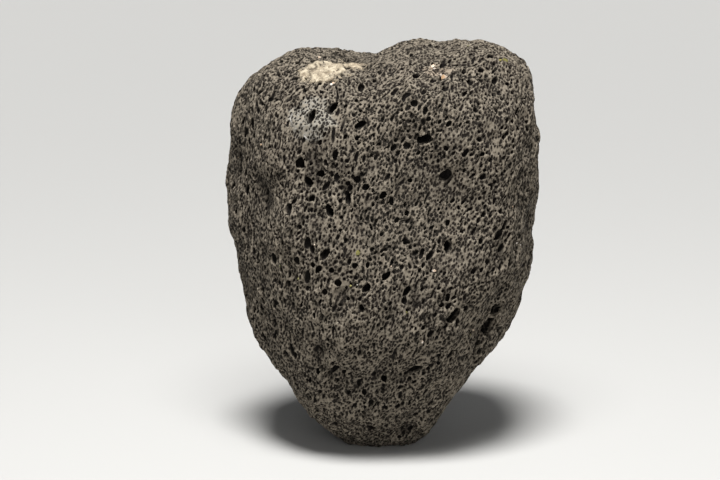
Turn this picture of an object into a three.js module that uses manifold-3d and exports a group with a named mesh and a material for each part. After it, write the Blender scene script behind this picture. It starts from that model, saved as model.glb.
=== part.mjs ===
// Black lava rock: one broken lump of vesicular basalt, standing on its blunt narrow end.
//
// Millimetres, +Z up, +X to the right and +Y to the back of the stone's best side. The origin is on the
// surface that the stone stands on, under the middle of its bounding box.
//
// The stone is a single piece. Its body is a closed surface around a centre, given by a front outline and a
// depth. Broken faces flatten it, swells and hollows bend it, noise roughens it, and the large gas bubbles
// are then cut out of it.
import * as THREE from "three";
import { mergeVertices } from "three/addons/utils/BufferGeometryUtils.js";
import { ImprovedNoise } from "three/addons/math/ImprovedNoise.js";
import Module from "manifold-3d";

// Driving dimensions
const WIDTH = 104;
const HEIGHT = 132;
const DEPTH = 88;
const CENTRE = new THREE.Vector3(0, 0, 0.53 * HEIGHT);
const SURFACE_DETAIL = 17; // subdivisions of each side of the icosahedron that carries the surface
const BUBBLE_DETAIL = 1;

// The front outline, clockwise from the foot: [across, up] in hundredths of half the width and of the height.
// Its lowest points lie under the ground, where the flat foot is cut.
const OUTLINE = [
  [-19, -2], [-45, 4.5], [-65, 15.5], [-79, 26], [-89, 42], [-97, 57], [-101, 72],
  [-100, 80], [-91, 88], [-69, 95], [-46, 98.5], [-12, 97.5], [22, 101.5], [60, 101.5], [84, 96],
  [95, 86.5], [97, 71], [94, 54], [90, 41], [74, 26], [47, 12.5], [13, -2],
];
const OUTLINE_STEPS = 240;

// How full the stone is between its outline and its front and back: 2 is an ellipse, more is boxier.
const FULLNESS = 2.5;

// Broken faces: the direction that each looks in, in degrees round from the front and up, and how far from
// the centre it lies, in millimetres. BREAK_EDGE sets how sharply they meet the rest.
const BROKEN_FACES = [
  { name: "top", turn: 0, tilt: 82, reach: 64.5 },
  { name: "top front slope", turn: -24, tilt: 50, reach: 60 },
  { name: "front", turn: 4, tilt: 4, reach: 41.5 },
  { name: "left flank", turn: -58, tilt: 4, reach: 49 },
  { name: "right flank", turn: 56, tilt: -3, reach: 50 },
  { name: "front under-side", turn: 6, tilt: -33, reach: 53 },
  { name: "back", turn: 172, tilt: -4, reach: 41.5 },
  { name: "back left", turn: -122, tilt: 12, reach: 49 },
  { name: "back right shoulder", turn: 138, tilt: 36, reach: 54 },
  { name: "back under-side", turn: 190, tilt: -36, reach: 55 },
];
const BREAK_EDGE = 28;

// Swells (rise above 0) and hollows (rise below 0) of the surface: a point near each, how far it spreads
// and how high it stands, in millimetres.
const SWELLS = [
  { name: "left brow", at: [-26, -34, 108], spread: 9, rise: 2.4 },
  { name: "hollow under the left brow", at: [-23, -38, 98], spread: 5, rise: -5 },
  { name: "hollow below it", at: [-22, -38, 89], spread: 5, rise: -3.6 },
  { name: "smooth hollow", at: [-20, -40, 78], spread: 4, rise: -2 },
  { name: "left side hollow", at: [-37, -30, 86], spread: 5, rise: -3.4 },
  { name: "dent in the left edge", at: [-48, -10, 92], spread: 3.5, rise: -1.8 },
  { name: "right brow", at: [12, -36, 111], spread: 8, rise: 2 },
  { name: "ledge in the brow", at: [5, -38, 104.5], spread: 4, rise: -3.6 },
  { name: "hollow under the right brow", at: [19, -39, 94], spread: 5, rise: -2.6 },
  { name: "right trough", at: [25, -41, 82], spread: 7, rise: -1.8 },
  { name: "right cheek", at: [36, -34, 76], spread: 9, rise: 1.5 },
  { name: "dip in the top", at: [-5, 0, 132], spread: 10, rise: -2.4 },
  { name: "belly", at: [4, -42, 52], spread: 13, rise: 1.8 },
  { name: "hollow above the snout", at: [-4, -34, 29], spread: 6, rise: -2.2 },
  { name: "snout", at: [-3, -28, 16], spread: 9, rise: 2.2 },
  { name: "groove low on the right", at: [32, -27, 43], spread: 5, rise: -4.2 },
  { name: "groove above it", at: [36, -30, 53], spread: 4, rise: -2.4 },
  { name: "dent in the left cheek", at: [-27, -37, 46], spread: 5, rise: -2 },
  { name: "notch on the left edge", at: [-35, -4, 22], spread: 5, rise: -2.2 },
  { name: "waist on the right edge", at: [50, 2, 73], spread: 4.5, rise: -1.6 },
  { name: "dent in the right shoulder", at: [50, 0, 110], spread: 5, rise: -2 },
  { name: "hollow in the back", at: [-14, 42, 84], spread: 12, rise: -4 },
  { name: "swell on the back", at: [20, 40, 58], spread: 13, rise: 3 },
  { name: "hollow low on the back", at: [-8, 34, 32], spread: 8, rise: -2.6 },
];

// Roughness of the broken surface: wavelength and height of each layer of noise, in millimetres.
const NOISE_LAYERS = [
  { wave: 34, height: 2.2 },
  { wave: 15, height: 1.1 },
  { wave: 8, height: 0.7 },
];

// Large gas bubbles broken open at the surface. Each is placed by where it shows from the front or the back
// (x and z), with its width and length there, how far its length leans from upright towards +X in degrees,
// and how deep it goes, in millimetres.
const FRONT_BUBBLES = [
  { x: -23.7, z: 111.4, width: 3, length: 5, lean: -4, depth: 5 },
  { x: -17.3, z: 114.2, width: 2.8, length: 4, lean: 38, depth: 4 },
  { x: 12.6, z: 104.8, width: 2.8, length: 5.2, lean: 62, depth: 5 },
  { x: -8.6, z: 109.8, width: 2, length: 4, lean: 78, depth: 3 },
  { x: 19.9, z: 71.8, width: 2.6, length: 4.8, lean: 10, depth: 4.5 },
  { x: 21.3, z: 50.5, width: 3.6, length: 6.2, lean: 30, depth: 5 },
  { x: 7.4, z: 59.4, width: 2, length: 4.6, lean: 28, depth: 3.5 },
  { x: -7.7, z: 53.5, width: 2.2, length: 2.2, lean: 0, depth: 2.6 },
  { x: -6.1, z: 59.8, width: 2.6, length: 3.4, lean: 35, depth: 2.4 },
  { x: -18.9, z: 70.5, width: 2.2, length: 4.6, lean: 20, depth: 2 },
  { x: 0.9, z: 63.8, width: 2.6, length: 3.8, lean: 50, depth: 3 },
  { x: -4.1, z: 9.4, width: 2.6, length: 3, lean: 0, depth: 3 },
  { x: -0.1, z: 28.8, width: 2.2, length: 2.6, lean: 20, depth: 2.6 },
  { x: -33.1, z: 64.1, width: 2.4, length: 3, lean: 10, depth: 2.6 },
  { x: 36.6, z: 49.1, width: 3.8, length: 6, lean: 24, depth: 4.5 },
  { x: 33.4, z: 43.3, width: 4.4, length: 7.6, lean: 28, depth: 5 },
  { x: 29.7, z: 36, width: 3.6, length: 6.6, lean: 30, depth: 4 },
  { x: -17.6, z: 83.4, width: 3, length: 4, lean: -30, depth: 3.6 },
  { x: -11.7, z: 86.9, width: 2, length: 4, lean: -12, depth: 3 },
  { x: -23.1, z: 86.7, width: 3, length: 2.2, lean: 0, depth: 2.6 },
  { x: -46.6, z: 91.2, width: 2.2, length: 4.4, lean: 0, depth: 3 },
  { x: -20, z: 94.1, width: 2.6, length: 2.2, lean: 0, depth: 2.8 },
  { x: -26.4, z: 97.1, width: 2, length: 4, lean: 10, depth: 3 },
  { x: -24.6, z: 91.8, width: 2, length: 3.2, lean: -20, depth: 2.6 },
  { x: -17.1, z: 31.5, width: 2, length: 8, lean: 48, depth: 2.4 },
  { x: 10.3, z: 31.7, width: 2, length: 6, lean: 50, depth: 2.4 },
  { x: -36.2, z: 101.2, width: 1.8, length: 3, lean: 10, depth: 2.2 },
  { x: 18.8, z: 94.2, width: 3, length: 5, lean: 20, depth: 1.8 },
];
const BACK_BUBBLES = [
  { x: 22, z: 104, width: 4.6, length: 8, lean: -30, depth: 5 },
  { x: -18, z: 96, width: 5.4, length: 7.4, lean: 24, depth: 5 },
  { x: 4, z: 78, width: 3.4, length: 6.6, lean: -48, depth: 4 },
  { x: 30, z: 70, width: 3.6, length: 7.6, lean: -20, depth: 4.4 },
  { x: -30, z: 62, width: 4, length: 6, lean: 16, depth: 4 },
  { x: -6, z: 54, width: 3.2, length: 5.4, lean: 60, depth: 3.6 },
  { x: 14, z: 40, width: 4.4, length: 8, lean: -26, depth: 4.6 },
  { x: -14, z: 24, width: 3.4, length: 5.2, lean: 30, depth: 3.4 },
  { x: -40, z: 90, width: 3.2, length: 5.6, lean: 8, depth: 3.4 },
  { x: 38, z: 96, width: 3.4, length: 5.4, lean: -12, depth: 3.4 },
];
const BUBBLE_SINK = 0.3; // a bubble's middle lies this share of its depth under the surface

const BASALT = new THREE.MeshStandardMaterial({ color: 0x4a4541, roughness: 0.95, metalness: 0 });

const FRONT = -1;
const BACK = 1;
const noise = new ImprovedNoise();

// The outline as seen from the centre: the distance to it at evenly spaced angles.
const outlineReach = (() => {
  const corners = OUTLINE.map(
    ([across, up]) => new THREE.Vector3((across / 200) * WIDTH, 0, (up / 100) * HEIGHT).sub(CENTRE),
  );
  const rim = new THREE.CatmullRomCurve3(corners, true, "centripetal")
    .getPoints(OUTLINE_STEPS)
    .map((p) => ({ angle: Math.atan2(p.z, p.x), reach: Math.hypot(p.x, p.z) }))
    .sort((a, b) => a.angle - b.angle);
  const first = { ...rim[0], angle: rim[0].angle + 2 * Math.PI };
  const last = { ...rim.at(-1), angle: rim.at(-1).angle - 2 * Math.PI };
  const ring = [last, ...rim, first];
  return (angle) => {
    const after = ring.findIndex((p) => p.angle > angle);
    const [a, b] = [ring[after - 1], ring[after]];
    return THREE.MathUtils.lerp(a.reach, b.reach, (angle - a.angle) / (b.angle - a.angle));
  };
})();

// Unit vector looking turn degrees round from the front, towards the right, and tilt degrees up.
function facing(turn, tilt) {
  const [t, e] = [THREE.MathUtils.degToRad(turn), THREE.MathUtils.degToRad(tilt)];
  return new THREE.Vector3(Math.sin(t) * Math.cos(e), -Math.cos(t) * Math.cos(e), Math.sin(e));
}

const brokenFaces = BROKEN_FACES.map(({ turn, tilt, reach }) => ({ normal: facing(turn, tilt), reach }));
const swells = SWELLS.map(({ at, spread, rise }) => ({ at: new THREE.Vector3(...at), spread, rise }));

// Distance from the centre to the stone's surface in the direction of a unit vector.
function surfaceReach(direction) {
  const across = Math.hypot(direction.x, direction.z) / outlineReach(Math.atan2(direction.z, direction.x));
  const through = Math.abs(direction.y) / (DEPTH / 2);
  const rounded = (across ** FULLNESS + through ** FULLNESS) ** (-1 / FULLNESS);
  const cuts = brokenFaces
    .map(({ normal, reach }) => Math.max(0, direction.dot(normal)) / reach)
    .reduce((sum, nearness) => sum + nearness ** BREAK_EDGE, rounded ** -BREAK_EDGE);
  let reach = cuts ** (-1 / BREAK_EDGE);
  const point = direction.clone().multiplyScalar(reach).add(CENTRE);
  for (const { at, spread, rise } of swells) {
    reach += rise * Math.exp(-point.distanceToSquared(at) / (2 * spread * spread));
  }
  for (const { wave, height } of NOISE_LAYERS) {
    reach += height * noise.noise(point.x / wave, point.y / wave, point.z / wave);
  }
  return reach;
}

// A closed geometry with shared vertices: only positions are kept.
function sealed(geometry) {
  geometry.deleteAttribute("normal");
  geometry.deleteAttribute("uv");
  return mergeVertices(geometry);
}

function bodyGeometry() {
  const geometry = sealed(new THREE.IcosahedronGeometry(1, SURFACE_DETAIL));
  const stretch = new THREE.Vector3(WIDTH, DEPTH, HEIGHT).divideScalar(HEIGHT);
  const places = geometry.attributes.position;
  const direction = new THREE.Vector3();
  for (let i = 0; i < places.count; i++) {
    direction.fromBufferAttribute(places, i).multiply(stretch).normalize();
    direction.multiplyScalar(surfaceReach(direction)).add(CENTRE);
    places.setXYZ(i, direction.x, direction.y, direction.z);
  }
  return geometry;
}

// The surface point that shows at x, z from the given side, found by closing in on its direction.
function surfacePoint(x, z, side) {
  let [near, far] = [0, DEPTH];
  const probe = new THREE.Vector3();
  while (far - near > 0.01) {
    const y = (near + far) / 2;
    probe.set(x, side * y, z).sub(CENTRE);
    const inside = probe.length() < surfaceReach(probe.clone().normalize());
    [near, far] = inside ? [y, far] : [near, y];
  }
  return new THREE.Vector3(x, side * near, z);
}

function bubbleGeometry({ x, z, width, length, lean, depth }, side) {
  const mouth = surfacePoint(x, z, side);
  const outward = mouth.clone().sub(CENTRE).setZ(0).normalize();
  const upright = new THREE.Vector3(0, 0, 1);
  const sideways = new THREE.Vector3().crossVectors(outward, upright);
  const turned = new THREE.Matrix4().makeBasis(sideways, outward, upright);
  const leaned = new THREE.Matrix4().makeRotationY(THREE.MathUtils.degToRad(side * lean));
  const geometry = sealed(new THREE.IcosahedronGeometry(1, BUBBLE_DETAIL));
  geometry.scale(width / 2, depth, length / 2);
  geometry.applyMatrix4(leaned).applyMatrix4(turned);
  const middle = mouth.addScaledVector(outward, -BUBBLE_SINK * depth);
  return geometry.translate(middle.x, middle.y, middle.z);
}

const wasm = await Module();
wasm.setup();

function solidOf(geometry) {
  return new wasm.Manifold(
    new wasm.Mesh({
      numProp: 3,
      vertProperties: geometry.attributes.position.array,
      triVerts: new Uint32Array(geometry.index.array),
    }),
  );
}

function geometryOf(solid) {
  const { vertProperties, triVerts } = solid.getMesh();
  return new THREE.BufferGeometry()
    .setAttribute("position", new THREE.BufferAttribute(vertProperties, 3))
    .setIndex(new THREE.BufferAttribute(triVerts, 1));
}

// Everything under the ground, cut away to leave the flat foot.
function groundGeometry() {
  const ground = new THREE.BoxGeometry(2 * WIDTH, 2 * DEPTH, HEIGHT);
  return sealed(ground.translate(0, 0, -HEIGHT / 2));
}

function rockGeometry() {
  let rock = solidOf(bodyGeometry());
  for (const bubble of FRONT_BUBBLES) rock = rock.subtract(solidOf(bubbleGeometry(bubble, FRONT)));
  for (const bubble of BACK_BUBBLES) rock = rock.subtract(solidOf(bubbleGeometry(bubble, BACK)));
  return geometryOf(rock.subtract(solidOf(groundGeometry())));
}

const lavaRock = new THREE.Mesh(rockGeometry(), BASALT);
lavaRock.name = "lava_rock";

// The box's middle goes over the origin. The foot is already at height 0.
lavaRock.geometry.computeBoundingBox();
const middle = lavaRock.geometry.boundingBox.getCenter(new THREE.Vector3());
lavaRock.position.set(-middle.x, -middle.y, 0);

const stone = new THREE.Group();
stone.add(lavaRock);

export default stone;
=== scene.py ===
"""Black lava rock: one broken lump of vesicular basalt, standing on a pale floor in soft light.

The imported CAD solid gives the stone's size and form. Its surface is made again here at full detail, as a
field of distances on a fine grid: the form is roughened, thousands of gas bubbles are cut into it, and the
result is meshed. Lengths in the field are in millimetres, and in Blender in metres.
"""

import math

import bmesh
import bpy
import numpy as np
import openvdb as vdb
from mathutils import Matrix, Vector


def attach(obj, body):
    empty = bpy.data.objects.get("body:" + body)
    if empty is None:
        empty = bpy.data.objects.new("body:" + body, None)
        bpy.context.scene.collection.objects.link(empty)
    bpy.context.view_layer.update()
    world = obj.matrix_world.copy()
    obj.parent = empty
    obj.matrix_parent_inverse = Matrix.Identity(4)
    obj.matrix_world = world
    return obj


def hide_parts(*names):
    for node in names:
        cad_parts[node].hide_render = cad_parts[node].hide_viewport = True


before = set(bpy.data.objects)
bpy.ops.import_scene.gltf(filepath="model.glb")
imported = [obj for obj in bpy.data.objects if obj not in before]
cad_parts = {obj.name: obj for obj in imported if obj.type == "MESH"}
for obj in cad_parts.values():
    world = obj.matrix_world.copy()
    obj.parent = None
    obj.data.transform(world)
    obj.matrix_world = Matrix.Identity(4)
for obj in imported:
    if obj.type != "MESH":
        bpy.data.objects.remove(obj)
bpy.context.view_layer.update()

MM = 0.001
VOXEL = 0.3  # the grid's step
OUTER_BAND = 4  # voxels of true distance kept outside the CAD surface
INNER_BAND = int(9 / VOXEL)  # and inside it
SEED = 7

# Half-widths of the boxes in which the share of stone around a place is counted
FINE = 0.6
NEAR = 2.8
WIDE = 6.0
OPEN_SHARE = 0.56  # with a greater share of stone near it, a place is inside a hollow


# ---------------------------------------------------------------- noise

TABLE = 64  # a noise repeats after this many wavelengths


def rotation(turn, tilt):
    """A tilt about X and then a turn about Z, as a matrix."""
    ct, st = math.cos(turn), math.sin(turn)
    ce, se = math.cos(tilt), math.sin(tilt)
    about_z = np.array([[ct, -st, 0], [st, ct, 0], [0, 0, 1]])
    about_x = np.array([[1, 0, 0], [0, ce, -se], [0, se, ce]])
    return (about_z @ about_x).astype(np.float32)


def noise(points, wave, seed, channels=1):
    """Smooth noise from -1 to 1 with the given wavelength, at rows of points."""
    table = np.random.default_rng(seed).uniform(-1, 1, (TABLE**3, channels)).astype(np.float32)
    where = points.astype(np.float32) @ rotation(0.7 + seed, 0.9 + 2 * seed) / np.float32(wave)
    cell = np.floor(where)
    part = where - cell
    part = (part * part * (3 - 2 * part)).T
    cell = cell.astype(np.int32).T
    near, far = cell % TABLE, (cell + 1) % TABLE
    total = np.zeros((len(points), channels), np.float32)
    for i in (0, 1):
        for j in (0, 1):
            for k in (0, 1):
                x, y, z = ((far if up else near)[n] for n, up in enumerate((i, j, k)))
                weight = 1
                for n, up in enumerate((i, j, k)):
                    weight = weight * (part[n] if up else 1 - part[n])
                total += weight[:, None] * table[(x * TABLE + y) * TABLE + z]
    return total if channels > 1 else total[:, 0]


# ---------------------------------------------------------------- the distance field


def cad_triangles(name):
    """A CAD node's triangles, each as three corners in millimetres."""
    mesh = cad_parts[name].data
    mesh.calc_loop_triangles()
    points = np.empty(3 * len(mesh.vertices), np.float32)
    corners = np.empty(3 * len(mesh.loop_triangles), np.int32)
    mesh.vertices.foreach_get("co", points)
    mesh.loop_triangles.foreach_get("vertices", corners)
    return points.reshape(-1, 3)[corners].reshape(-1, 3, 3) / MM


def quartered(triangles):
    """Each triangle cut into four at the middles of its sides."""
    a, b, c = triangles[:, 0], triangles[:, 1], triangles[:, 2]
    ab, bc, ca = (a + b) / 2, (b + c) / 2, (c + a) / 2
    parts = [(a, ab, ca), (ab, b, bc), (ca, bc, c), (ab, bc, ca)]
    return np.concatenate([np.stack(p, axis=1) for p in parts])


class Field:
    """Distances to a surface on a grid, negative inside it."""

    def __init__(self, triangles):
        """The distances to a closed surface, which is given as the corners of its triangles."""
        self.transform = vdb.createLinearTransform(VOXEL)
        grid = vdb.FloatGrid.createLevelSetFromPolygons(
            np.ascontiguousarray(triangles.reshape(-1, 3), np.float32),
            triangles=np.arange(3 * len(triangles), dtype=np.uint32).reshape(-1, 3),
            transform=self.transform,
            exBandWidth=OUTER_BAND,
            inBandWidth=INNER_BAND,
        )
        low, high = (np.array(c) for c in grid.evalActiveVoxelBoundingBox())
        self.corner = low - 2
        self.values = np.empty(high - low + 5, np.float32)
        grid.copyToArray(self.values, ijk=tuple(int(i) for i in self.corner))

    def surface(self, values=None, start=(0, 0, 0)):
        """The zero surface of these values, or of a part of the grid from start, as points and quads."""
        values = self.values if values is None else values
        grid = vdb.FloatGrid(float(OUTER_BAND * VOXEL))
        grid.transform = self.transform
        grid.copyFromArray(np.ascontiguousarray(values), ijk=tuple(int(i) for i in self.corner + start))
        points, quads = grid.convertToQuads(0.0)
        return points, quads.astype(np.int64)

    def box(self, centre, reach):
        """The part of the grid within reach of a point: its slices, and its offsets from the point."""
        low = np.floor((centre - reach) / VOXEL).astype(int) - self.corner
        high = np.ceil((centre + reach) / VOXEL).astype(int) - self.corner + 1
        low = np.clip(low, 0, self.values.shape)
        high = np.clip(high, 0, self.values.shape)
        cut = tuple(slice(a, b) for a, b in zip(low, high))
        x, y, z = (
            ((np.arange(a, b) + c) * VOXEL - o).astype(np.float32)
            for a, b, c, o in zip(low, high, self.corner, centre)
        )
        return cut, x[:, None, None], y[None, :, None], z[None, None, :]

    def sample(self, array, points):
        """An array on this grid, read at points between its nodes."""
        where = points / VOXEL - self.corner
        cell = np.clip(np.floor(where).astype(np.int32), 0, np.array(array.shape) - 2)
        part = (where - cell).astype(np.float32)
        total = np.zeros(len(points), np.float32)
        for corner in range(8):
            step = np.array([corner >> 2 & 1, corner >> 1 & 1, corner & 1])
            at = cell + step
            weight = np.prod(np.where(step, part, 1 - part), axis=1)
            total += weight * array[at[:, 0], at[:, 1], at[:, 2]]
        return total


# Relief of the broken surface: wavelength and height of each layer, in millimetres
RELIEF = [(14, 0.9), (6.5, 0.7), (3.4, 0.5), (2.0, 0.3)]
RELIEF_SEED = 20
RELIEF_LEAST = 0.15  # the share of the relief that the pale patch keeps
RELIEF_FADE = 3  # millimetres over which it falls to that, inside the patch's edge
STREAK = 0.5  # how much the relief is drawn out along the lava's flow
FLOW_LEAN = 0.35  # radians that the flow leans to the right
FLOW = np.array([math.sin(FLOW_LEAN), 0, math.cos(FLOW_LEAN)], np.float32)


def drawn_out(points):
    """Points squeezed along the flow, so that a noise read there is drawn out along it."""
    return points - STREAK * (points @ FLOW)[:, None] * FLOW


def roughened(triangles):
    """The CAD surface with its relief, which is weak on the pale patch so that its holes stay in place."""
    points = triangles.reshape(-1, 3)
    drawn = drawn_out(points)
    share = np.clip(1 + outside(PATCHES["pale"], points) / RELIEF_FADE, RELIEF_LEAST, 1)[:, None]
    for i, (wave, height) in enumerate(RELIEF):
        points = points + share * height * noise(drawn, wave, RELIEF_SEED + i, channels=3)
    return points.reshape(-1, 3, 3)


# Degrees that the bubbles lean to the right: on the left, how many more on the right, and their spread
LEAN_LEFT = 6
LEAN_MORE = 30
LEAN_SPREAD = 12
LEAN_REACH = 30  # millimetres each side of the middle within which the lean changes
LEAN_BACK = 0.05, 0.3  # the mean and the spread of how far they lean to the back


def flow_direction(point, rng):
    """The way that the lava drew its bubbles out: upright on the left, leaning right on the right."""
    share = np.clip((point[0] + LEAN_REACH) / (2 * LEAN_REACH), 0, 1)
    lean = math.radians(LEAN_LEFT + LEAN_MORE * share + rng.normal(0, LEAN_SPREAD))
    back = rng.normal(*LEAN_BACK)
    way = np.array([math.sin(lean), back, math.cos(lean)])
    return way / np.linalg.norm(way)


def ellipsoid(offsets, long, wide, way):
    """Distance to an ellipsoid's surface, nearly true close to it."""
    x, y, z = offsets
    square = x * x + y * y + z * z
    along = (x * way[0] + y * way[1] + z * way[2]) ** 2
    a, b = 1 / wide**2, 1 / long**2
    level = np.sqrt(a * square + (b - a) * along) + 1e-6
    slope = np.sqrt(a * a * square + (b * b - a * a) * along) / level + 1e-6
    return (level - 1) / slope


def share_of_stone(field, reach):
    """The share of stone in a box around every node: a half on a flat face, more in a hollow."""
    return box_blur((field.values < 0).astype(np.float32), round(reach / VOXEL))


def surface_points(field, crowd, points, quads, count, rng):
    """Random points on a surface, with the way out of the stone and the share of stone around each."""
    spots = points[quads[rng.integers(len(quads), size=count)]].astype(float).mean(axis=1)
    steps = VOXEL * np.eye(3)
    ways = [field.sample(crowd, spots - step) - field.sample(crowd, spots + step) for step in steps]
    outward = np.stack(ways, axis=1)
    return spots, outward / (np.linalg.norm(outward, axis=1)[:, None] + 1e-9), field.sample(crowd, spots)


# Scallops are what is left of large bubbles that broke away: shallow dishes that meet in ridges.
SCALLOPS = dict(
    tries=2100, low=1.5, high=4.5, sink=(-0.95, -0.77), drawn=(1.1, 2.6), room=0,
    share=1, patchy=0, hidden=0.52,
)

# Gas bubbles: large ones, slits, and then smaller and smaller ones. For each kind: how many to try, their
# least and greatest half-width, how far each lies under the surface as a share of that, how far they are
# drawn out, how much room each needs, the share that is kept and how that changes in foamy patches, and
# the share of stone around a place beyond which it is too far inside.
BUBBLES = [
    dict(
        tries=60, low=1.1, high=1.6, sink=(0.2, 0.75), drawn=(1, 2.2), room=0.8,
        share=0.75, patchy=0.5, hidden=0.58,
    ),
    dict(
        tries=1700, low=0.36, high=0.66, sink=(0, 0.7), drawn=(3, 6), room=0.5,
        share=0.75, patchy=-0.3, hidden=0.62,
    ),
    dict(
        tries=2900, low=0.6, high=1.1, sink=(0.2, 0.85), drawn=(1, 2.4), room=0.95,
        share=0.75, patchy=1.1, hidden=0.66,
    ),
    dict(
        tries=22000, low=0.36, high=0.62, sink=(0.2, 0.85), drawn=(1, 2.3), room=1.25,
        share=0.75, patchy=0.9, hidden=0.7,
    ),
    dict(
        tries=80000, low=0.24, high=0.38, sink=(0.1, 0.85), drawn=(1, 1.8), room=1.75,
        share=0.72, patchy=-0.4, hidden=0.74,
    ),
]
FOAM_WAVE = 15  # millimetres from one foamy patch to the next
BARE_WAVE = 6  # and from one smooth patch to the next
FOAM_SEED = 5
BARE_SEED = 6
BARE_OVER = 0.52  # smooth patches lie where their noise is above this
BARE_WITHIN = -1.0  # the pale patch is smooth too, this far in from its edge

ROOM_VOXEL = 0.5
ROOM_MARGIN = 12  # millimetres of room grid past the stone
ROOM_REACH = 1.5  # and round each bubble that takes its room
FAR_AWAY = 9


class Room:
    """How far it is to the nearest bubble, on a coarse grid."""

    def __init__(self, points):
        """Empty room round a stone's points."""
        self.low = points.min(0) - ROOM_MARGIN
        size = np.ceil((points.max(0) + ROOM_MARGIN - self.low) / ROOM_VOXEL)
        self.away = np.full(size.astype(int), FAR_AWAY, np.float32)

    def at(self, point):
        """How far a point is from the nearest bubble."""
        return self.away[tuple(((point - self.low) / ROOM_VOXEL).astype(int))]

    def take(self, centre, long, wide, way):
        """Note a new bubble."""
        reach = long + ROOM_REACH
        first = ((centre - reach - self.low) / ROOM_VOXEL).astype(int)
        last = ((centre + reach - self.low) / ROOM_VOXEL).astype(int) + 1
        x, y, z = (
            (np.arange(a, b) + 0.5) * ROOM_VOXEL + o - c
            for a, b, o, c in zip(first, last, self.low, centre)
        )
        away = ellipsoid((x[:, None, None], y[None, :, None], z[None, None, :]), long, wide, way)
        cut = tuple(slice(a, b) for a, b in zip(first, last))
        self.away[cut] = np.minimum(self.away[cut], away)


def place(field, crowd, kinds, points, quads, seed):
    """Bubbles that leave walls between them: rows of centre, half-length, half-width and direction.

    Scallops, which need no room, are laid along the surface.
    """
    rng = np.random.default_rng(seed)
    room = Room(points)
    placed = []
    for kind in kinds:
        spots, outward, crowded = surface_points(field, crowd, points, quads, kind["tries"], rng)
        likely = kind["share"] + kind["patchy"] * noise(spots, FOAM_WAVE, FOAM_SEED)
        chosen = (crowded < kind["hidden"]) & (rng.random(len(spots)) < likely)
        chosen &= outside(PATCHES["pale"], spots) > BARE_WITHIN
        if kind["room"]:
            chosen &= noise(spots, BARE_WAVE, BARE_SEED) < BARE_OVER
        for spot, out in zip(spots[chosen], outward[chosen]):
            wide = kind["low"] + (kind["high"] - kind["low"]) * rng.random() ** 2
            centre = spot - out * wide * rng.uniform(*kind["sink"])
            long = wide * rng.uniform(*kind["drawn"])
            way = flow_direction(spot, rng)
            if not kind["room"]:
                way -= out * (way @ out)
                way /= np.linalg.norm(way)
            elif room.at(centre) < wide * kind["room"]:
                continue
            else:
                room.take(centre, long, wide, way)
            placed.append((centre, long, wide, way))
    return placed


def cut_bubbles(field, bubbles):
    """Take the bubbles out of the stone."""
    for centre, long, wide, way in bubbles:
        cut, x, y, z = field.box(centre, long + 2 * VOXEL)
        hollow = ellipsoid((x, y, z), long, wide, way)
        field.values[cut] = np.maximum(field.values[cut], -hollow)


def box_blur(array, reach):
    """The mean over a box that reaches this many voxels each way."""
    width = 2 * reach + 1
    for axis in range(3):
        margin = [(0, 0)] * 3
        margin[axis] = (reach + 1, reach)
        total = np.moveaxis(np.cumsum(np.pad(array, margin, mode="edge"), axis=axis), axis, 0)
        array = np.moveaxis((total[width:] - total[:-width]) / width, 0, axis)
    return np.ascontiguousarray(array)


# ---------------------------------------------------------------- the mesh


def outer_shell(points, quads):
    """The surface seen from outside: sealed bubbles inside the stone and loose crumbs are left out."""
    root = np.arange(len(points))
    a, b = quads.ravel(), np.roll(quads, -1, axis=1).ravel()
    while len(a):
        low, high = np.minimum(root[a], root[b]), np.maximum(root[a], root[b])
        apart = low != high
        a, b, low, high = a[apart], b[apart], low[apart], high[apart]
        root[high] = low
        while (root[root] != root).any():
            root = root[root]
    names, counts = np.unique(root, return_counts=True)
    keep = root == names[counts.argmax()]
    number = np.cumsum(keep) - 1
    return points[keep], number[quads[keep[quads[:, 0]]]]


def make_mesh(name, points, quads):
    """A smooth mesh in metres from points in millimetres."""
    mesh = bpy.data.meshes.new(name)
    mesh.vertices.add(len(points))
    mesh.vertices.foreach_set("co", (points * MM).astype(np.float32).ravel())
    mesh.loops.add(4 * len(quads))
    mesh.loops.foreach_set("vertex_index", quads.astype(np.int32).ravel())
    mesh.polygons.add(len(quads))
    mesh.polygons.foreach_set("loop_start", np.arange(0, 4 * len(quads), 4, dtype=np.int32))
    mesh.update(calc_edges=True)
    mesh.validate()
    mesh.shade_smooth()
    return mesh


def add_attribute(mesh, name, values):
    """One number at each point of a mesh, for its material."""
    mesh.attributes.new(name, "FLOAT", "POINT").data.foreach_set("value", values.astype(np.float32))


# Bends that take the roundness out of the cut bubbles: wavelength and height, in millimetres
WARP = [(4.0, 0.4), (1.9, 0.3), (0.9, 0.12)]
WARP_SEED = 40

# Pale minerals grown on the stone: middle and half-sizes of each patch, how far its edge wanders, and its
# colours. A patch stains the stone, and those with a thickness also lie on it as a crust.
PATCHES = {
    "cream": dict(
        at=(-19.2, -19.8, 124.0), size=(7.4, 7, 3.9), ragged=1.7, thick=0.28,
        dark=(0.17, 0.135, 0.09), light=(0.44, 0.375, 0.275),
    ),
    "cream_tail": dict(
        at=(-10.3, -13.5, 126.2), size=(4.4, 4, 1.7), ragged=1.1, thick=0.25,
        dark=(0.17, 0.135, 0.09), light=(0.42, 0.35, 0.25),
    ),
    "pale": dict(
        at=(-21.8, -33, 111.2), size=(7, 7, 6.2), ragged=1.3, thick=0,
        dark=(0.13, 0.12, 0.1), light=(0.25, 0.235, 0.205),
    ),
    "rosy": dict(
        at=(17, -25.5, 125), size=(3.4, 3.6, 2.6), ragged=1.1, thick=0,
        dark=(0.15, 0.115, 0.085), light=(0.3, 0.24, 0.18),
    ),
}
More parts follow.
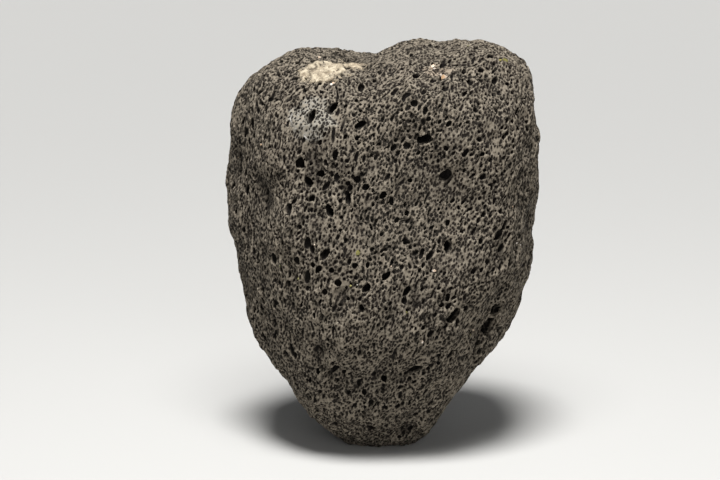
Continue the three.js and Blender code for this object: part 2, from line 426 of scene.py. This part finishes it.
# A patch's edge wanders with two noises: wavelength in millimetres, and strength
RAGGED = [(3.4, 1.0), (1.4, 0.7)]
RAGGED_SEED = 60
STAIN_ON_EDGE = 0.75  # how strong a stain is on its patch's edge
STAIN_FADE = 1.2  # millimetres over which it fades from full to none

# The white rim follows the pale patch's edge as a band of this half-width, on its lower left side
RIM = dict(at=PATCHES["pale"]["at"], size=(6.4, 6.6, 6.0), ragged=0.9, thick=0.22, band=0.34)
RIM_SIDE = np.array([-0.66, 0, -0.75], np.float32)
RIM_START = 3.4  # how far the rim lies to that side of the patch's middle

CRUST_DEPTH = 1.2  # how far a crust goes down into the stone
CRUST_TAPER = 1.5  # how steeply it thickens from its edge
PITS = [(1.5, 0.2), (0.8, 0.16)]  # wavelength and depth of the noises that pit it
PITS_SEED = 62


def outside(patch, points):
    """How far points are outside a patch's ragged edge, less than zero within it."""
    size = np.array(patch["size"], np.float32)
    offsets = points - np.array(patch["at"], np.float32)
    level = np.sqrt(((offsets / size) ** 2).sum(axis=1))
    ragged = sum(part * noise(points, wave, RAGGED_SEED + i) for i, (wave, part) in enumerate(RAGGED))
    away = (level - 1) * size.min() + patch["ragged"] * ragged
    if "band" in patch:
        turned = RIM_START - offsets @ RIM_SIDE
        away = np.maximum(np.abs(away) - patch["band"], turned)
    return away


def crust(field, patch):
    """A thin skin on the stone, thinner towards its edge and pitted."""
    at = np.array(patch["at"], np.float32)
    cut, x, y, z = field.box(at, max(patch["size"]) + 3)
    spots = np.stack(np.broadcast_arrays(x, y, z), axis=-1).reshape(-1, 3) + at
    shape = x.size, y.size, z.size
    away = outside(patch, spots).reshape(shape)
    pitted = sum(height * noise(spots, wave, PITS_SEED + i) for i, (wave, height) in enumerate(PITS))
    rough = box_blur(field.values[cut], 1)
    skin = rough - patch["thick"] * np.clip(-CRUST_TAPER * away, 0, 1) + pitted.reshape(shape)
    values = np.maximum(np.maximum(skin, away), -(rough + CRUST_DEPTH))
    return field.surface(values, [c.start for c in cut])


# Single crystals: middle of each on the stone, and its half-size
PALE_CRYSTALS = [
    ((15.3, -23.5, 126.5), 0.9),
    ((16.0, -24.2, 125.8), 0.55),
    ((18.5, -28.0, 123.5), 1.15),
    ((17.9, -27.4, 124.4), 0.55),
    ((15.6, -40.6, 65.0), 0.7),
    ((12.7, -40.2, 41.7), 0.5),
    ((-16.3, -25.6, 120.7), 0.7),
    ((-15.6, -24.9, 121.3), 0.5),
    ((-20.2, -11.5, 128.0), 0.55),
]
OLIVINE_CRYSTALS = [
    ((37.6, -20.7, 127.2), 0.95),
    ((36.7, -21.2, 127.6), 0.6),
    ((-8.2, -39.8, 70.2), 0.8),
    ((-26.6, -37.3, 61.5), 0.45),
    ((-9.8, -42.2, 60.0), 0.45),
    ((7.2, -42.8, 51.9), 0.45),
]
STRAY_CRYSTALS = 14  # of each kind, spread over the whole stone
STRAY_SIZE = 0.2, 0.42
PALE_SEED = 31
OLIVINE_SEED = 32
CRYSTAL_CORNERS = 12
CRYSTAL_FORM = 1, 0.8, 1.1
CRYSTAL_DEPTH = 0.15  # crystals sit no deeper than this under the skin
CRYSTAL_FOOT = 2  # and no lower than this over the ground


def add_crystals(name, known, points, near_skin, material, seed):
    """Small angular grains, half sunk in the surface."""
    rng = np.random.default_rng(seed)
    strays = [(points[i], rng.uniform(*STRAY_SIZE)) for i in rng.choice(near_skin, STRAY_CRYSTALS)]
    build = bmesh.new()
    for middle, size in known + strays:
        offsets = points[near_skin] - np.array(middle, np.float32)
        middle = points[near_skin[(offsets**2).sum(axis=1).argmin()]]
        corners = rng.normal(size=(CRYSTAL_CORNERS, 3))
        corners *= size * np.array(CRYSTAL_FORM) / np.linalg.norm(corners, axis=1)[:, None]
        made = [build.verts.new(corner) for corner in (middle + corners) * MM]
        bmesh.ops.convex_hull(build, input=made)
    mesh = bpy.data.meshes.new(name)
    build.to_mesh(mesh)
    build.free()
    return add_piece(name, mesh, material)


def warped(points):
    """Points of the finished surface with their last bends, none of them below the ground."""
    drawn = drawn_out(points)
    for i, (wave, height) in enumerate(WARP):
        points = points + height * noise(drawn, wave, WARP_SEED + i, channels=3)
    points[:, 2] = np.maximum(points[:, 2], 0)
    return points


def add_piece(name, mesh, material):
    """A visible piece that rides on the part's only body."""
    piece = bpy.data.objects.new(name, mesh)
    bpy.context.scene.collection.objects.link(piece)
    piece.data.materials.append(material)
    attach(piece, "root")
    return piece


def add_crusts(field):
    """The skins of pale minerals that lie on the stone."""
    crusts = {name: patch for name, patch in PATCHES.items() if patch["thick"]}
    crusts["white_rim"] = RIM
    for name, patch in crusts.items():
        spots, faces = crust(field, patch)
        mesh = make_mesh(f"{name}_crust", warped(spots), faces)
        add_piece(f"{name}_crust", mesh, crust_material(name))


def add_grains(points, near_skin):
    """The pale crystals and the olivine."""
    pale = crystal("pale_crystal", *PALE_COLOURS, PALE_ROUGHNESS)
    add_crystals("pale_crystals", PALE_CRYSTALS, points, near_skin, pale, PALE_SEED)
    green = crystal("olivine", *OLIVINE_COLOURS, OLIVINE_ROUGHNESS)
    add_crystals("olivine_crystals", OLIVINE_CRYSTALS, points, near_skin, green, OLIVINE_SEED)


def add_stone():
    """The stone with all that has grown on it.

    Its material reads how deep each point lies, how open its place is at three scales, and its stains;
    with the first two it paints shade into the holes and hollows and highlights onto the rims.
    """
    field = Field(roughened(quartered(quartered(cad_triangles("lava_rock")))))
    cut_bubbles(field, place(field, share_of_stone(field, WIDE), [SCALLOPS], *field.surface(), SEED))
    skin = field.values.copy()
    wide = share_of_stone(field, WIDE)
    crowd = share_of_stone(field, NEAR)
    cut_bubbles(field, place(field, crowd, BUBBLES, *outer_shell(*field.surface()), SEED + 1))
    solid = share_of_stone(field, FINE)
    points, quads = outer_shell(*field.surface())
    depth = -field.sample(skin, points)
    buried = field.sample(crowd, points)
    final = warped(points)
    mesh = make_mesh("stone", final, quads)
    add_attribute(mesh, "depth", depth)
    add_attribute(mesh, "hug", field.sample(solid, points))
    add_attribute(mesh, "buried", buried)
    add_attribute(mesh, "wide_hollow", field.sample(wide, points))
    for name, patch in PATCHES.items():
        stain = np.clip(STAIN_ON_EDGE - outside(patch, points) / STAIN_FADE, 0, 1)
        add_attribute(mesh, name, stain)
    stone = add_piece("stone", mesh, basalt())
    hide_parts("lava_rock")
    add_crusts(field)
    open_skin = (depth < CRYSTAL_DEPTH) & (buried < OPEN_SHARE) & (final[:, 2] > CRYSTAL_FOOT)
    add_grains(final, np.flatnonzero(open_skin))


# ---------------------------------------------------------------- materials


def new_material(name):
    """A new material with its nodes and links."""
    material = bpy.data.materials.new(name)
    material.use_nodes = True
    return material, material.node_tree.nodes, material.node_tree.links


def ranged(nodes, links, value, low, high, to_low=0.0, to_high=1.0):
    """A value stretched from one range to another, and held at its ends."""
    node = nodes.new("ShaderNodeMapRange")
    for name, number in (("From Min", low), ("From Max", high), ("To Min", to_low), ("To Max", to_high)):
        node.inputs[name].default_value = number
    links.new(value, node.inputs["Value"])
    return node.outputs["Result"]


def mixed(nodes, links, share, a, b):
    """A colour between two, each of them a colour or a socket."""
    node = nodes.new("ShaderNodeMix")
    node.data_type = "RGBA"
    links.new(share, node.inputs["Factor"])
    for socket, value in ((node.inputs["A"], a), (node.inputs["B"], b)):
        if isinstance(value, tuple):
            socket.default_value = (*value, 1)
        else:
            links.new(value, socket)
    return node.outputs["Result"]


def attribute(nodes, name):
    """A number that the mesh holds at each point."""
    node = nodes.new("ShaderNodeAttribute")
    node.attribute_name = name
    return node.outputs["Fac"]


def noise_texture(nodes, links, place, scale, detail, roughness):
    """Cloudy noise from 0 to 1, with this many waves in a metre."""
    node = nodes.new("ShaderNodeTexNoise")
    for name, number in (("Scale", scale), ("Detail", detail), ("Roughness", roughness)):
        node.inputs[name].default_value = number
    links.new(place, node.inputs["Vector"])
    return node.outputs["Fac"]


# Noises of the materials: waves in a metre, detail and roughness
BLOTCHES = 80, 5, 0.6
PATCHES_OF_PORES = 300, 3, 0.6
WORN_PLACES = 330, 3, 0.6
GRAIN = 420, 4, 0.65
CRYSTAL_DRIFT = 500, 3, 0.6
CRUST_SPECKS = 1300, 3, 0.65
STONE_SPECKS = 1600, 2, 0.6
GRAIN_RANGE = 0.38, 0.62  # where the grain passes from dark to light

FINE_PORES = 1350  # pores in a metre, which are too small for the mesh
FINE_STRETCH = 1.7  # how far they are drawn out along the flow
FINE_SPREAD = 0.16  # how much smaller or larger they are from patch to patch


def pore_distance(nodes, links, place):
    """Distance to the middles of pores too fine for the mesh, drawn out along the flow, about 0 to 1."""
    flow = nodes.new("ShaderNodeMapping")
    flow.vector_type = "TEXTURE"
    flow.inputs["Rotation"].default_value = (0, FLOW_LEAN, 0)
    flow.inputs["Scale"].default_value = (1, 1, FINE_STRETCH)
    links.new(place, flow.inputs["Vector"])
    cells = nodes.new("ShaderNodeTexVoronoi")
    cells.inputs["Scale"].default_value = FINE_PORES
    links.new(flow.outputs["Vector"], cells.inputs["Vector"])
    drift = noise_texture(nodes, links, place, *PATCHES_OF_PORES)
    patches = ranged(nodes, links, drift, 0.3, 0.7, -FINE_SPREAD, FINE_SPREAD)
    total = nodes.new("ShaderNodeMath")
    links.new(cells.outputs["Distance"], total.inputs[0])
    links.new(patches, total.inputs[1])
    return total.outputs["Value"]


BUMP_STRENGTH = 0.8
BUMP_DISTANCE = 0.00025


def roughness_and_bump(nodes, links, shader, speck, low, high, height=None):
    """Roughness that falls where the specks are bright, and a fine bump from them or from a height."""
    links.new(ranged(nodes, links, speck, 0.3, 0.7, high, low), shader.inputs["Roughness"])
    bump = nodes.new("ShaderNodeBump")
    bump.inputs["Strength"].default_value = BUMP_STRENGTH
    bump.inputs["Distance"].default_value = BUMP_DISTANCE
    links.new(height or speck, bump.inputs["Height"])
    links.new(bump.outputs["Normal"], shader.inputs["Normal"])


BASALT_SHEEN = 0.1
MINERAL_SHEEN = 0.2

# Colours of the basalt, from its plain ground to the darkest holes: its own colours, then painted
# highlights and painted shade
GROUND_DARK = 0.067, 0.056, 0.0435
GROUND_LIGHT = 0.108, 0.0895, 0.068
# Painted shade, for the stone's lower part
PAINTED_LOW_SHADE = 0.03, 0.026, 0.021
SPECKS = 0.21, 0.182, 0.142
# Painted highlights, on the rims of the fine pores and on thin walls
PORE_RIM_HIGHLIGHT = 0.25, 0.216, 0.167
THIN_WALL_HIGHLIGHT = 0.21, 0.18, 0.138
# Painted shade, in hollows and in pores and pits
SHADED = 0.018, 0.015, 0.012
PORE_SHADE = 0.008, 0.0065, 0.005
HOLLOW_SHADE = 0.006, 0.005, 0.004
# Painted shade deep in the holes, and the darker glass of their walls
DEEP_GLASS_AND_SHADE = 0.005, 0.004, 0.0035

# Painted shade on the lower part: the stone darkens by a share from the first height down to the second
LOW_SHADE_HEIGHTS = 0.045, 0.005
LOW_SHADE_SHARE = 0.4

# In each step the colour turns into a new one, by at most a share, as a value goes from start to end.
# After the specks, the steps paint highlights on rims and shade in pores, pits, hollows and depths.
COLOUR_STEPS = [
    ("speck", 0.5, 0.68, SPECKS, 1),
    # Painted highlights on the rims of the fine pores
    ("pores", 0.58, 0.8, PORE_RIM_HIGHLIGHT, 0.55),
    # Painted shade in the fine pores
    ("pores", 0.5, 0.38, PORE_SHADE, 0.95),
    # Painted shade in broad hollows
    ("wide_hollow", 0.49, 0.58, SHADED, 0.6),
    ("wide_hollow", 0.56, 0.64, HOLLOW_SHADE, 1),
    # A painted highlight on thin walls and rims
    ("hug", 0.43, 0.2, THIN_WALL_HIGHLIGHT, 0.5),
    # Painted shade in narrow pits
    ("hug", 0.54, 0.69, PORE_SHADE, 1),
    # Deep in the holes: painted shade, and the darker glass of the bubble walls
    ("depth", 0.25, 1.0, DEEP_GLASS_AND_SHADE, 1),
    # Painted shade in places buried among the bubbles
    ("buried", 0.58, 0.76, HOLLOW_SHADE, 1),
]


def basalt():
    """Brown-grey stone with painted highlights on its edges, painted shade in its hollows, and the stains
    of the mineral patches.
    """
    material, nodes, links = new_material("basalt")
    shader = nodes["Principled BSDF"]
    shader.inputs["Specular IOR Level"].default_value = BASALT_SHEEN
    place = nodes.new("ShaderNodeTexCoord").outputs["Object"]
    blotch = ranged(nodes, links, noise_texture(nodes, links, place, *BLOTCHES), 0.36, 0.64)
    grain = ranged(nodes, links, noise_texture(nodes, links, place, *GRAIN), *GRAIN_RANGE)
    speck = noise_texture(nodes, links, place, *STONE_SPECKS)
    pores = pore_distance(nodes, links, place)
    height = nodes.new("ShaderNodeSeparateXYZ")
    links.new(place, height.inputs["Vector"])
    values = {"speck": speck, "pores": pores}
    for name in ("wide_hollow", "hug", "depth", "buried"):
        values[name] = attribute(nodes, name)

    colour = mixed(nodes, links, blotch, GROUND_DARK, GROUND_LIGHT)
    # Painted shade, darker towards the bottom of the stone
    low_shade = ranged(nodes, links, height.outputs["Z"], *LOW_SHADE_HEIGHTS, 0, LOW_SHADE_SHARE)
    colour = mixed(nodes, links, low_shade, colour, PAINTED_LOW_SHADE)
    for name, patch in PATCHES.items():
        stain = mixed(nodes, links, grain, patch["dark"], patch["light"])
        colour = mixed(nodes, links, attribute(nodes, name), colour, stain)
    for name, start, end, new_colour, share in COLOUR_STEPS:
        turn = ranged(nodes, links, values[name], start, end, 0, share)
        colour = mixed(nodes, links, turn, colour, new_colour)
    links.new(colour, shader.inputs["Base Color"])
    roughness_and_bump(nodes, links, shader, speck, 0.75, 1.0, ranged(nodes, links, pores, 0.3, 0.55))
    return material


CRUST_COLOURS = {
    "cream": ((0.2, 0.16, 0.11), (0.47, 0.405, 0.3)),
    "cream_tail": ((0.2, 0.16, 0.11), (0.43, 0.36, 0.26)),
    "white_rim": ((0.15, 0.14, 0.125), (0.38, 0.36, 0.33)),
}
CRUST_WORN = 0.105, 0.085, 0.06
CRUST_GRIT = 0.1, 0.08, 0.058


def crust_material(name):
    """Dull, blotched mineral, worn through in places and gritty."""
    material, nodes, links = new_material(f"{name}_crust")
    shader = nodes["Principled BSDF"]
    shader.inputs["Specular IOR Level"].default_value = MINERAL_SHEEN
    place = nodes.new("ShaderNodeTexCoord").outputs["Object"]
    grain = ranged(nodes, links, noise_texture(nodes, links, place, *GRAIN), *GRAIN_RANGE)
    speck = noise_texture(nodes, links, place, *CRUST_SPECKS)
    colour = mixed(nodes, links, grain, *CRUST_COLOURS[name])
    worn = noise_texture(nodes, links, place, *WORN_PLACES)
    colour = mixed(nodes, links, ranged(nodes, links, worn, 0.46, 0.36), colour, CRUST_WORN)
    colour = mixed(nodes, links, ranged(nodes, links, speck, 0.46, 0.34), colour, CRUST_GRIT)
    links.new(colour, shader.inputs["Base Color"])
    roughness_and_bump(nodes, links, shader, speck, 0.7, 0.95)
    return material


# Two colours between which each kind of crystal drifts, and how rough it is at least
PALE_COLOURS = (0.56, 0.51, 0.45), (0.45, 0.28, 0.15)
PALE_ROUGHNESS = 0.5
OLIVINE_COLOURS = (0.13, 0.12, 0.03), (0.25, 0.22, 0.06)
OLIVINE_ROUGHNESS = 0.4
ROUGHER = 0.15  # how much rougher some grains are


def crystal(name, colour, tint, roughness):
    """Clear-edged mineral grains whose colour drifts from grain to grain."""
    material, nodes, links = new_material(name)
    shader = nodes["Principled BSDF"]
    place = nodes.new("ShaderNodeTexCoord").outputs["Object"]
    drift = ranged(nodes, links, noise_texture(nodes, links, place, *CRYSTAL_DRIFT), 0.42, 0.62)
    links.new(mixed(nodes, links, drift, colour, tint), shader.inputs["Base Color"])
    rough = ranged(nodes, links, drift, 0, 1, roughness, roughness + ROUGHER)
    links.new(rough, shader.inputs["Roughness"])
    return material


def plain(name, colour, roughness):
    """One even colour."""
    material, nodes, _ = new_material(name)
    shader = nodes["Principled BSDF"]
    shader.inputs["Base Color"].default_value = (*colour, 1)
    shader.inputs["Roughness"].default_value = roughness
    return material


# ---------------------------------------------------------------- scene


FLOOR_COLOUR = 0.47, 0.465, 0.45
WALL_COLOUR = 0.52, 0.53, 0.54
CEILING_COLOUR = 0.08, 0.083, 0.086
HORIZON_BAND = 0.15, 0.4  # the sines of the heights between which the wall darkens to the ceiling

CAMERA_PLACE = -0.0073, -0.600, 0.1795
CAMERA_DOWN = 10.635  # degrees that it looks down
CAMERA_LENS = 92.3
CAMERA_SENSOR = 36


def make_floor():
    """A wide, pale, level floor."""
    bpy.ops.mesh.primitive_circle_add(vertices=96, radius=30, fill_type="NGON")
    floor = bpy.context.object
    floor.name = "floor"
    floor.data.materials.append(plain("floor_pale", FLOOR_COLOUR, 0.9))


def sun(name, way, strength, softness):
    """Even light that goes one way, from a disk of that many degrees."""
    light = bpy.data.lights.new(name, "SUN")
    light.energy = strength
    light.angle = math.radians(softness)
    thing = bpy.data.objects.new(name, light)
    bpy.context.scene.collection.objects.link(thing)
    thing.rotation_euler = Vector(way).to_track_quat("-Z", "Y").to_euler()


def lamp(name, place, target, size, watts):
    """A round lamp at a place, turned to its target."""
    disk = bpy.data.lights.new(name, "AREA")
    disk.shape = "DISK"
    disk.size = size
    disk.energy = watts
    thing = bpy.data.objects.new(name, disk)
    bpy.context.scene.collection.objects.link(thing)
    thing.location = place
    thing.rotation_euler = (Vector(target) - Vector(place)).to_track_quat("-Z", "Y").to_euler()


def make_light():
    """A soft sun from above, a weak one from the front right, a lamp over the stone, and a studio.

    The studio's wall is pale near the floor and darkens upwards.
    """
    sun("key", (0.04, 0.27, -0.93), 4.2, 18)
    lamp("top", (0, -0.2, 0.48), (0, 0, 0.07), 0.2, 1.5)
    sun("fill", (-0.2, 0.9, -0.3), 0.55, 30)
    world = bpy.data.worlds.new("studio")
    bpy.context.scene.world = world
    world.use_nodes = True
    nodes, links = world.node_tree.nodes, world.node_tree.links
    way = nodes.new("ShaderNodeSeparateXYZ")
    links.new(nodes.new("ShaderNodeTexCoord").outputs["Generated"], way.inputs["Vector"])
    raised = ranged(nodes, links, way.outputs["Z"], *HORIZON_BAND)
    studio = mixed(nodes, links, raised, WALL_COLOUR, CEILING_COLOUR)
    links.new(studio, nodes["Background"].inputs["Color"])


def make_camera():
    """The photo's view: from the front, a little above the stone."""
    camera = bpy.data.cameras.new("camera")
    camera.lens = CAMERA_LENS
    camera.sensor_width = CAMERA_SENSOR
    thing = bpy.data.objects.new("camera", camera)
    bpy.context.scene.collection.objects.link(thing)
    thing.location = CAMERA_PLACE
    thing.rotation_euler = (math.radians(90 - CAMERA_DOWN), 0, 0)
    bpy.context.scene.camera = thing


bpy.context.scene.view_settings.view_transform = "Standard"
make_camera()
make_light()
make_floor()
add_stone()
